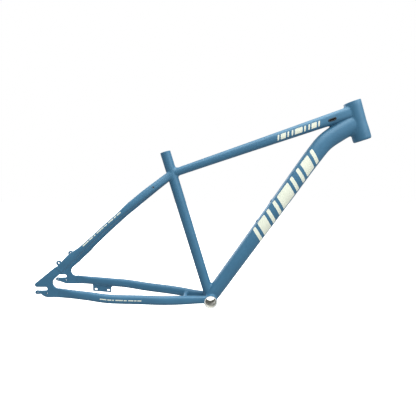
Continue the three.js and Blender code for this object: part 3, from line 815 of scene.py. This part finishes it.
def plate_piece(name, loops, y_low, y_high, nodes, edges=(0.9, 0.35)):
    """loops: the outline, then any holes, each a closed list of [x, z]. edges: how far the
    outline's and the holes' edges are rounded."""
    points, faces, rims = [], [], []
    for k, loop in enumerate(loops):
        edge = edges[min(k, 1)]
        loop = np.array(loop)
        after = np.roll(loop, -1, 0)
        turning = (loop[:, 0] * after[:, 1] - after[:, 0] * loop[:, 1]).sum() > 0
        if turning == (k > 0):
            loop = loop[::-1]
        turn = np.linspace(0, np.pi / 2, EDGE_STEPS + 1)
        band = [(edge * (1 - np.sin(a)), edge * (1 - np.cos(a))) for a in turn]
        rows = [(inset, y_low + rise) for inset, rise in band]
        rows += [(inset, y_high - rise) for inset, rise in band[::-1]]
        first = sum(map(len, points))
        count = len(loop)
        for inset, y in rows:
            moved = offset_loop(loop, inset)
            points.append(np.stack([moved[:, 0], np.full(count, y), moved[:, 1]], -1))
        faces += [[first + corner for corner in face]
                  for face in grid_faces(len(rows), count, False)[:-2]]
        rims.append((first, first + (len(rows) - 1) * count, count))
    points = np.vstack(points)
    for level in (0, 1):
        rings = [range(rim[level], rim[level] + rim[2]) for rim in rims]
        index = [i for ring in rings for i in ring]
        flat = [[Vector((points[i][0], points[i][2], 0)) for i in ring] for ring in rings]
        faces += [[index[corner] for corner in face] for face in tessellate_polygon(flat)]
    finish_piece(name, mesh_from(name, points, faces), [paint], nodes)


print("helpers for plates ready")


# %% [markdown]
# ### Dropouts
# Each dropout is a 7 mm plate with a slot, open to the rear, that takes the axle. An upper
# arm runs up to the seatstay, a lower arm holds a mudguard eyelet, and a round throat
# between two stubs leaves room for the wheel. The stays are welded onto the stubs.

# %% Dropout outline
AXLE_X, AXLE_Z, SLOT_HALF = -473.3, 58, 5.2
PLATE_IN, PLATE_OUT = 67.5, 74.5
CHAIN_STUB = {"x": -432, "z": 45.2, "slope": -5.7, "depth": 26}
SEAT_STUB = {"x": -432, "z": 114, "slope": 45, "depth": 21.6}
STUB_REACH = 3  # a stub goes this far into its stay's closed end
EYE_RADIUS = 2.1  # tapped for 5 mm bolts
ARMS = {-1: (-496.3, 70.2, 6.8, 128.7, 120), 1: (-499.3, 67.3, 3.9, 129, 116.3)}


def stub_corner(stub, side):
    a = math.radians(stub["slope"])
    depth = stub["depth"] - 1.2
    return [stub["x"] + STUB_REACH * math.cos(a) - side * depth / 2 * math.sin(a),
            stub["z"] + STUB_REACH * math.sin(a) + side * depth / 2 * math.cos(a)]


def dropout_outline(side):
    """Walked from the slot's mouth round the axle, the lower arm, the throat and the top."""
    loop = arc(AXLE_X, AXLE_Z, SLOT_HALF, 90, -90, 24)
    loop += [[-489, AXLE_Z - SLOT_HALF - 0.4]]
    loop += arc(-497.6, 48, 5.5, 60, 270, 26)
    if side < 0:  # the right arm has a neck behind its eyelet
        loop += bend([-497.6, 42.5], [-490, 42.3], [-486.5, 43.2], 7)
        loop += bend([-486.5, 43.2], [-479.5, 34], [-469, 32.9], 10)
    else:
        loop += [[-478.5, 36.6]] + bend([-478.5, 36.6], [-474, 33.6], [-469, 32.9], 8)
    loop += [stub_corner(CHAIN_STUB, -1), stub_corner(CHAIN_STUB, 1)]
    loop += arc(-437.6, 74.5, 16, -85, -230, 34)
    tip_x, tip_z, radius, edge, shoulder = ARMS[side]
    loop += [stub_corner(SEAT_STUB, -1), stub_corner(SEAT_STUB, 1), [-445, shoulder]]
    return loop + arc(tip_x, tip_z, radius, edge, 270, 16)


eyes = [arc(-497, 48, EYE_RADIUS, 0, 345, 24), arc(-470.5, 44.2, EYE_RADIUS, 0, 345, 24)]
for name, side in SIDES.items():
    low, high = sorted((side * PLATE_IN, side * PLATE_OUT))
    plate_piece("painted_dropout_" + name, [softened(dropout_outline(side)), *eyes], low, high,
                ["dropout_" + name])

# %% The beads between stubs and stays


def collar_rows(tube, half_width=6.0, height=0.35, ripple=0.07, columns=200, across=15):
    """A low ridge round the closed end of a stay, where it is welded to its stub."""
    angle, q = round_angles(columns)[None, :], np.linspace(-1, 1, across)[:, None]
    rim = surface(tube, 0.0, angle[0])
    run = np.linalg.norm(np.roll(rim, -1, axis=0) - rim, axis=1)
    phase = np.concatenate([[0], np.cumsum(run)[:-1]]) / 2.4
    phase = (phase / phase[-1] * round(phase[-1]))[None, :]
    wave = 0.5 + 0.5 * np.cos(2 * np.pi * (phase - 0.8 * q**2))
    ridge = (height + ripple * wave) * np.cos(q * np.pi / 2) ** 2
    sink = 0.05 + 0.75 * np.clip(-q, 0, 1) ** 2  # on the stub's side it runs into the plate
    outside = surface(tube, q * half_width / tube["length"], angle, sink - ridge)
    inside = surface(tube, q[::-1] * half_width / tube["length"], angle, 1.2 + 0 * ridge)
    return np.concatenate([outside, inside])


for name in SIDES:
    for kind, stay in (("chainstay", chainstays[name]), ("seatstay", seatstays[name])):
        bead_piece(f"weld_{kind}_to_dropout_{name}", collar_rows(stay))

# %% [markdown]
# ### The disc brake mount and the kickstand plate
# Both are on the left side. The brake mount stands on the dropout's upper edge with two
# ears 51 mm apart, and it is drawn along that edge: u runs up the edge and v stands off it.
# The kickstand plate hangs under the left chainstay with two slotted holes 40 mm apart.

# %% Brake mount
EDGE_X, EDGE_Z, EDGE_SLOPE = -501.3, 70.7, 39
EAR_FIRST, EAR_PITCH, EAR_HEIGHT, EAR_RADIUS, EAR_BORE = 28, 51, 17.5, 7.9, 3.0


def on_edge(u, v):
    a = math.radians(EDGE_SLOPE)
    return [EDGE_X + u * math.cos(a) - v * math.sin(a), EDGE_Z + u * math.sin(a) + v * math.cos(a)]


MOUNT_IN, MOUNT_OUT = 65, 71
ear_second = EAR_FIRST + EAR_PITCH
valley = on_edge(EAR_FIRST + EAR_PITCH / 2, 7)
ears = [arc(*on_edge(u, EAR_HEIGHT), EAR_RADIUS, EDGE_SLOPE + 200, EDGE_SLOPE - 20, 26)
        for u in (EAR_FIRST, ear_second)]
mount = [on_edge(EAR_FIRST - 14, -1), on_edge(EAR_FIRST - EAR_RADIUS, EAR_HEIGHT - 3)] + ears[0]
mount += bend(ears[0][-1], on_edge(EAR_FIRST + 12, 7), valley, 10)
mount += bend(valley, on_edge(ear_second - 12, 7),
              on_edge(ear_second - EAR_RADIUS * 0.94, EAR_HEIGHT - 2.6), 10)
mount += ears[1] + [on_edge(ear_second + 16, 6), on_edge(ear_second + 16, -2), on_edge(60, -1)]
ear_holes = [arc(*on_edge(u, EAR_HEIGHT), EAR_BORE, 0, 345, 24) for u in (EAR_FIRST, ear_second)]
plate_piece("painted_disc_brake_mount", [softened(mount), *ear_holes], MOUNT_IN, MOUNT_OUT,
            ["disc_brake_mount"])
print("points of the brake mount's outline:", len(mount))

# %% Kickstand plate
STAND_LEFT, STAND_RIGHT, STAND_SLOPE = -383.5, -325, -5.7
STAND_IN, STAND_OUT, STAND_PITCH, STAND_HOLES_Z = 63.5, 68.5, 40, 12.9


def oval(x, z, length, height, slope, points=12):
    a, r = math.radians(slope), height / 2
    dx, dz = (length / 2 - r) * math.cos(a), (length / 2 - r) * math.sin(a)
    return (arc(x + dx, z + dz, r, slope - 90, slope + 90, points)
            + arc(x - dx, z - dz, r, slope + 90, slope + 270, points))


stand = [[STAND_LEFT, 34], [STAND_LEFT, 8.9], [STAND_RIGHT, 3], [STAND_RIGHT, 15]]
stand += bend([STAND_RIGHT, 15], [STAND_RIGHT, 25], [-310, 26], 10) + [[-310, 34]]
slots, tilt = [], math.radians(STAND_SLOPE)
for off in (-STAND_PITCH / 2, STAND_PITCH / 2):
    x = (STAND_LEFT + STAND_RIGHT) / 2 + 0.6 + off * math.cos(tilt)
    slots.append(oval(x, STAND_HOLES_Z + off * math.sin(tilt), 9.5, 6, STAND_SLOPE))
plate_piece("painted_kickstand_plate", [softened(stand, 1.2), *slots], STAND_IN, STAND_OUT,
            ["kickstand_plate"], edges=(0.7, 0.5))
print("points of the kickstand plate's outline:", len(stand))

# %% Beads along the plates' edges


def line_bead(name, points, radius=1.9, ripple=0.28, columns=20):
    """A bead laid in a straight or bent corner: a rod whose ripples run along it."""
    route, length = smooth_route(points)
    place = np.linspace(0, 1, int(length / 0.35))
    distance = place * length
    ease = np.clip(np.minimum(distance, length - distance) / (1.6 * radius), 0.02, 1)
    width = radius * np.sqrt(1 - (1 - ease) ** 2)
    width += ripple * np.cos(2 * np.pi * distance / 2.2) * ease

    def section(t):
        across = 2 * np.interp(t, place, width)
        return across, across, 2.0

    rod = {"route": route, "side": LEFT, "section": section}
    rows = surface(rod, place[:, None], round_angles(columns)[None, :])
    bead_piece(name, rows, closed=False)


left_chain = target(lining(chainstays["left"]))
left_seat = target(lining(seatstays["left"]))
for label, y in (("inner", STAND_IN - 0.3), ("outer", STAND_OUT + 0.3)):
    path = []
    for x in np.linspace(STAND_LEFT + 2, -319, 16):
        hit = left_chain.ray_cast(Vector((x, y, -20)), Vector((0, 0, 1)))[0]
        path.append(list(hit))
    line_bead("weld_kickstand_plate_" + label, path)
slope = math.radians(EDGE_SLOPE)
toward_stay = Vector((math.sin(slope), 0, -math.cos(slope)))
for label, y, u_stop in (("inner", PLATE_IN - 0.3, 68), ("outer", MOUNT_OUT + 0.3, 70)):
    foot = [on_edge(u, 0.2) for u in np.linspace(EAR_FIRST - 12, u_stop, 12)]
    path = [[x, y, z] for x, z in foot]
    for u in np.linspace(u_stop + 6, ear_second + 15, 5):
        x, z = on_edge(u, 30)
        hit = left_seat.ray_cast(Vector((x, y, z)), toward_stay)[0]
        if hit is not None:
            path.append(list(hit))
    line_bead("weld_disc_brake_mount_" + label, path)

# %% [markdown]
# ## Holes, inserts and the cable port
# The seat tube is slotted at the back for the post clamp, the top tube has a slot for a
# rubber grommet that takes the cables, and threaded inserts are pressed into the down tube
# and the seatstays. The holes are real cuts through the tube walls, so the inside shows
# dark as it should. A cutter is a plain closed shape that is taken away and deleted.

# %% Cut a shape out of a piece


def cut_out(piece, rows):
    mesh = grid_mesh("cutter", rows, False)
    mesh.materials.append(raw_metal)
    cutter = put("cutter", mesh)
    change = piece.modifiers.new("cut", "BOOLEAN")
    change.operation, change.object, change.solver = "DIFFERENCE", cutter, "EXACT"
    change.material_mode = "TRANSFER"
    ready = piece.evaluated_get(bpy.context.evaluated_depsgraph_get())
    done = bpy.data.meshes.new_from_object(ready)
    piece.modifiers.remove(change)
    piece.data = done
    bpy.data.objects.remove(cutter)
    done.set_sharp_from_angle(angle=math.radians(38))


def drill(piece, base, up, radius, length):
    cut_out(piece, turned([[radius, 0], [radius, length]], base, up, 40))


print("helpers for cuts ready")


# %% Seat tube slot
for key, tube in (("seat_tube", seat), ("top_tube", top), ("down_tube", down)):
    raw_inside(pieces[key], tube)
seat_back = np.array([-math.sin(SEAT_ANGLE), 0, -math.cos(SEAT_ANGLE)])
SLOT_WIDTH, SLOT_LENGTH, SLOT_HOLE = 2.4, 26, 2.5
slot_foot = SEAT_UP * (SEAT_LENGTH - SLOT_LENGTH)
block = np.array([[slot_foot + seat_back * reach + LEFT * y + SEAT_UP * rise
                   for reach, y in ((6, -SLOT_WIDTH / 2), (6, SLOT_WIDTH / 2),
                                    (24, SLOT_WIDTH / 2), (24, -SLOT_WIDTH / 2))]
                  for rise in (0, SLOT_LENGTH + 3)])
cut_out(pieces["seat_tube"], block)
drill(pieces["seat_tube"], slot_foot + seat_back * 4, seat_back, SLOT_HOLE, 20)
print("faces of the slotted seat tube:", len(pieces["seat_tube"].data.polygons))

# %% Cable port
PORT_X, PORT_Z, PORT_LENGTH, PORT_HEIGHT, PORT_SLOPE = 358.6, 549.2, 25.6, 8.8, 19.1


def port_oval(inset, points):
    length, height = PORT_LENGTH - 2 * inset, PORT_HEIGHT - 2 * inset
    return oval(PORT_X, PORT_Z, length, height, PORT_SLOPE, points)


hole = [[[x, y, z] for x, z in port_oval(1.3, 12)] for y in (-26, -8)]
cut_out(pieces["top_tube"], np.array(hole))
at_top = target(lining(top))
rim_loops = [  # each is how far in from the rim, and how far out from the tube's side
    (0.0, 0.1), (0.1, 0.75), (0.6, 1.15), (1.5, 1.25), (2.4, 1.0), (2.9, 0.3), (3.0, -4.5),
    (1.5, -4.5), (1.4, -0.6), (0.0, -0.6)]
port_rows = []
for inset, out in rim_loops:
    hits = [at_top.ray_cast(Vector((x, -60, z)), Vector(LEFT))[0] for x, z in port_oval(inset, 24)]
    port_rows.append([[hit.x, hit.y - out, hit.z] for hit in hits])
mesh = grid_mesh("rubber_cable_port", np.array(port_rows))
finish_piece("rubber_cable_port", mesh, [rubber], ["cable_port"], crease=60)

# %% Threaded inserts


def insert_at(tube, place, angle, radius, flange, bore, length, name, nodes, piece):
    """A flanged insert in the tube's wall, painted outside and bare in its thread."""
    spot = surface(tube, np.array([place]), np.array([angle]))[0]
    middle = tube["route"](np.array([place]))[0][0]
    away = unit(spot - middle)
    drill(piece, spot - away * 8, away, radius + 0.05, 12)
    outside = [[radius, -length], [radius, -0.3], [flange, -0.3], [flange, 0.7],
               [flange - 0.4, 1.1], [bore + 0.5, 1.1]]
    inside = [[bore + 0.1, 0.8]] + thread(bore, 0.4, 0.4 - length, 0.25, 0.8)
    rows = turned(outside + inside, spot, away, 48)
    turned_piece(name, rows, [paint, raw_metal, paint], [len(outside) - 1, len(rows) - 1],
                 nodes)


for label, place in (("lower", 0.4), ("upper", 0.506)):
    insert_at(down, place, np.pi / 2, 3.6, 5.0, 2.1, 6, "bottle_insert_" + label,
              ["bottle_boss_" + label], pieces["down_tube"])
for name, side in SIDES.items():
    insert_at(seatstays[name], 0.826, 0 if side > 0 else np.pi, 2.8, 3.6, 2.0, 4,
              "rack_insert_" + name, ["rack_boss_" + name], pieces["seatstay_" + name])

# %% [markdown]
# ## Graphics
# The tubes carry cream graphics on both sides. They are plain slanted bars, which stand for
# no word or mark: broad ones up the down tube, a smaller set on the top tube, and a broken
# thin line on each stay. Ink has a thickness, so each bar is a very thin solid that follows
# the tube's curve. A bar is drawn flat, s millimetres along the tube and v millimetres up
# its side, and is then bent round the tube.

# %% Bend a bar round a tube
INK = 0.07


def bar_rows(tube, side, s_low, s_high, v_low, v_high, slant, corner):
    """The bar's outer and hidden faces, as two grids."""
    v = np.linspace(v_low, v_high, max(6, int((v_high - v_low) / 1.2)))
    near = np.minimum(v - v_low, v_high - v)
    shrink = corner - np.sqrt(np.maximum(corner**2 - np.maximum(corner - near, 0) ** 2, 0))
    count = max(4, int((s_high - s_low) / 3))
    t = np.linspace(0, 1, count)[None, :]
    low, high = (s_low + shrink)[:, None], (s_high - shrink)[:, None]
    s = low + (high - low) * t + slant * v[:, None]
    place = s / tube["length"]
    _, depth, square = (np.broadcast_to(x, place.shape) for x in tube["section"](place))
    level = np.broadcast_to(v[:, None], place.shape)
    ratio = np.clip(np.abs(level) / (depth / 2), 0, 0.995)
    angle = np.sign(level) * np.arcsin(ratio ** (square / 2))
    angle = angle if side > 0 else np.pi - angle
    return surface(tube, place, angle, -INK), surface(tube, place, angle, 0.25)


def graphic(name, tube, side, bars, slant, corner=2.0):
    points, faces = [], []
    for s_low, s_high, v_low, v_high in bars:
        outer, inner = bar_rows(tube, side, s_low, s_high, v_low, v_high, slant, corner)
        rows, columns = outer.shape[:2]
        first, hidden = sum(map(len, points)), rows * columns
        index = np.arange(hidden).reshape(rows, columns)
        quads = np.stack([index[:-1, :-1], index[:-1, 1:], index[1:, 1:], index[1:, :-1]], -1)
        quads = quads.reshape(-1, 4)
        rim = np.concatenate([index[0, :], index[1:, -1], index[-1, -2::-1], index[-2:0:-1, 0]])
        wall = np.stack([rim, rim + hidden, np.roll(rim, -1) + hidden, np.roll(rim, -1)], -1)
        for block in (quads, quads[:, ::-1] + hidden, wall):
            faces += (block + first).tolist()
        points += [outer.reshape(-1, 3), inner.reshape(-1, 3)]
    mesh = mesh_from(name, np.vstack(points), faces)
    finish_piece(name, mesh, [ink], (), crease=60)


print("helper for printed bars ready")


# %% Bars for each tube
def row_of_bars(start, widths, gaps):
    """Bars of the given widths, one after another, as start and end places."""
    bars = []
    for width, gap in zip(widths, gaps):
        bars.append((start, start + width))
        start += width + gap
    return bars


down_bars = [(a, b, -20.0, 20.0) for a, b in row_of_bars(
    248.0, [12, 34, 12, 12, 54, 12, 12, 34, 12], [11, 11, 19, 11, 11, 19, 11, 11, 0])]
top_bars = [(a, b, -9.5, 5.5) for a, b in row_of_bars(
    331.0, [5, 16, 5, 5, 24, 5, 5, 16, 5], [5, 5, 8, 5, 5, 8, 5, 5, 0])]
stay_bars = row_of_bars(0.0, [22, 14, 6, 26, 10, 18, 8, 14], [3, 3, 5, 3, 5, 3, 3, 0])
for name, side in SIDES.items():
    graphic("graphic_down_tube_" + name, down, side, down_bars, slant=0.41)
    graphic("graphic_top_tube_" + name, top, side, top_bars, slant=0.35, corner=1.2)
    graphic("graphic_seatstay_" + name, seatstays[name], side,
            [(95 + a, 95 + b, 1.6, 4.4) for a, b in stay_bars], slant=0.2, corner=0.5)
    graphic("graphic_chainstay_" + name, chainstays[name], side,
            [(112 + a * 0.82, 112 + b * 0.82, -1.8, 1.2) for a, b in stay_bars],
            slant=0.2, corner=0.5)

# %% [markdown]
# ## Camera, floor and light
# The camera stands a little over a metre away on the chain side, just above the frame's
# middle, and looks slightly down. The floor is pale and well below the hanging frame. The
# light is a big soft panel overhead, a weaker one from the front right and one for the far
# side. The room gives the rest, so the tubes' upper sides are light and their undersides
# deep blue.

# %% Camera
camera_data = bpy.data.cameras.new("camera")
camera_data.lens, camera_data.sensor_width = 30.53, 36
camera_data.shift_x, camera_data.shift_y = -0.0274, 0.0470
camera = put("camera", camera_data)
CAMERA_PLACE, YAW, PITCH, ROLL = (-0.021373, -1.075302, 0.357443), -2.569, 6.98, 0.31
turn = Matrix.Rotation(math.radians(YAW), 4, "Z")
turn @= Matrix.Rotation(math.radians(90 - PITCH), 4, "X")
turn @= Matrix.Rotation(math.radians(ROLL), 4, "Z")
camera.matrix_world = Matrix.Translation(CAMERA_PLACE) @ turn
bpy.context.scene.camera = camera
print("camera at", CAMERA_PLACE)

# %% Floor, sky and lamps
FLOOR_DROP, FLOOR_REACH = 0.16, 9.0
floor_mesh = bpy.data.meshes.new("floor")
corners = [(x * FLOOR_REACH, y * FLOOR_REACH, cad_low.z - FLOOR_DROP)
           for x, y in ((-1, -1), (1, -1), (1, 1), (-1, 1))]
floor_mesh.from_pydata(corners, [], [(0, 1, 2, 3)])
put("floor", floor_mesh)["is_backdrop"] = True


def bare_tree(owner):
    owner.use_nodes = True
    owner.node_tree.nodes.clear()
    return owner.node_tree


floor_finish = bpy.data.materials.new("pale_floor")
tree = bare_tree(floor_finish)
seen = add(tree, "ShaderNodeLightPath").outputs["Is Camera Ray"]
shown = add(tree, "ShaderNodeBsdfDiffuse", {"Color": (0.9, 0.9, 0.9, 1)}).outputs[0]
glow = add(tree, "ShaderNodeEmission", {"Color": (1, 1, 1, 1), "Strength": 0.8}).outputs[0]
both = add(tree, "ShaderNodeAddShader", {0: shown, 1: glow}).outputs[0]
dim = add(tree, "ShaderNodeBsdfDiffuse", {"Color": (0.34, 0.34, 0.34, 1)}).outputs[0]
chosen = add(tree, "ShaderNodeMixShader", {0: seen, 1: dim, 2: both}).outputs[0]
add(tree, "ShaderNodeOutputMaterial", {"Surface": chosen})
floor_mesh.materials.append(floor_finish)

world = bpy.data.worlds.new("studio")
bpy.context.scene.world = world
tree = bare_tree(world)
seen = add(tree, "ShaderNodeLightPath").outputs["Is Camera Ray"]
room, backdrop = (
    add(tree, "ShaderNodeBackground", {"Color": colour, "Strength": strength}).outputs[0]
    for colour, strength in (((0.92, 0.96, 1.0, 1), 0.62), ((1, 1, 1, 1), 1.0)))
chosen = add(tree, "ShaderNodeMixShader", {0: seen, 1: room, 2: backdrop}).outputs[0]
add(tree, "ShaderNodeOutputWorld", {"Surface": chosen})


def panel(name, place, size, power, colour, aim=(0, 0, 0.3)):
    lamp = bpy.data.lights.new(name, "AREA")
    lamp.shape, lamp.size, lamp.energy, lamp.color = "SQUARE", size, power, colour
    place = Vector(place)
    put(name, lamp).matrix_world = Matrix.Translation(place) @ (
        (Vector(aim) - place).to_track_quat("-Z", "Y").to_matrix().to_4x4())


panel("overhead", (0.45, -0.55, 2.4), 2.9, 100, (1.0, 1.0, 0.93))
panel("front_right", (2.4, -1.9, 1.5), 2.2, 24, (1.0, 0.98, 0.96))
panel("far_side", (-1.6, 2.4, 1.5), 1.8, 40, (1.0, 0.98, 0.96))
bpy.context.scene.view_settings.view_transform = "Standard"
print("lamps:", len(bpy.data.lights))

# %% Sizes, and the end
low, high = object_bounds()
print("CAD box:", cad_low, cad_high, "visual box:", low, high)
